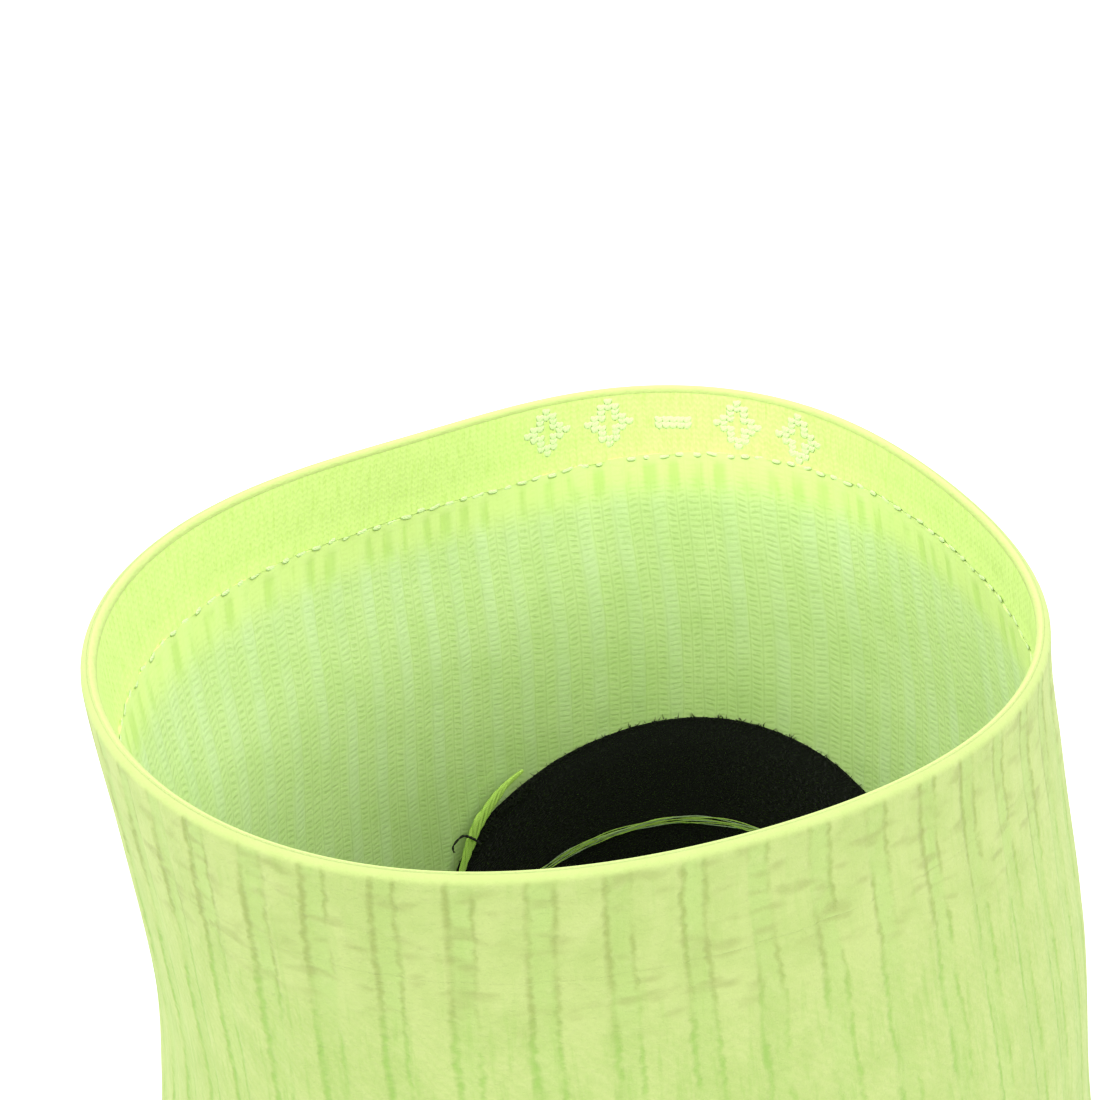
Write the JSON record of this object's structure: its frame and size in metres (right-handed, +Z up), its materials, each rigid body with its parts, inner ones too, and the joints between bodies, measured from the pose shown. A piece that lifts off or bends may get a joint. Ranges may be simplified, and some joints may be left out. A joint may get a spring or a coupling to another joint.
{
  "type": "sports sock",
  "caption": "Quarter-length ribbed knit sports sock standing open, with a turned elastic cuff, arch band, padded black heel, sole and toe.",
  "frame": {"origin": "on the floor under the middle of the sock's bounding box", "axes": "+Z up out of the leg opening, toe towards -Y, heel towards +Y, +X to the right seen from the toe"},
  "size_m": [0.095, 0.2543, 0.108],
  "materials": {
    "neon_rib_knit": "matt rib knit",
    "neon_plain_knit": "matt plain knit",
    "pale_yarn": "matt yarn",
    "black_terry_knit": "matt terry loops",
    "covered_elastic": "covered elastic yarn",
    "arch_rib_knit": "matt tight rib knit"
  },
  "bodies": {
    "root": {"leg_rib_tube": "neon_rib_knit", "cuff_outer_layer": "neon_rib_knit", "instep_panel": "neon_rib_knit", "cuff_inner_layer": "neon_plain_knit", "heel_accent_line": "neon_plain_knit", "edge_yarn_bundle": "neon_plain_knit", "cuff_closing_stitch": "pale_yarn", "knitted_mark_1": "pale_yarn", "knitted_mark_2": "pale_yarn", "knitted_mark_3": "pale_yarn", "knitted_mark_4": "pale_yarn", "knitted_mark_5": "pale_yarn", "heel_float_yarn_1": "pale_yarn", "heel_float_yarn_2": "pale_yarn", "heel_float_yarn_3": "pale_yarn", "heel_top_panel": "black_terry_knit", "heel_back_half": "black_terry_knit", "heel_sole_half": "black_terry_knit", "sole_pad": "black_terry_knit", "toe_cap": "black_terry_knit", "toe_linking_seam": "black_terry_knit", "yarn_tail_upper": "black_terry_knit", "yarn_tail_lower": "black_terry_knit", "cuff_elastic_1": "covered_elastic", "cuff_elastic_2": "covered_elastic", "cuff_elastic_3": "covered_elastic", "arch_band": "arch_rib_knit"}
  },
  "joints": []
}
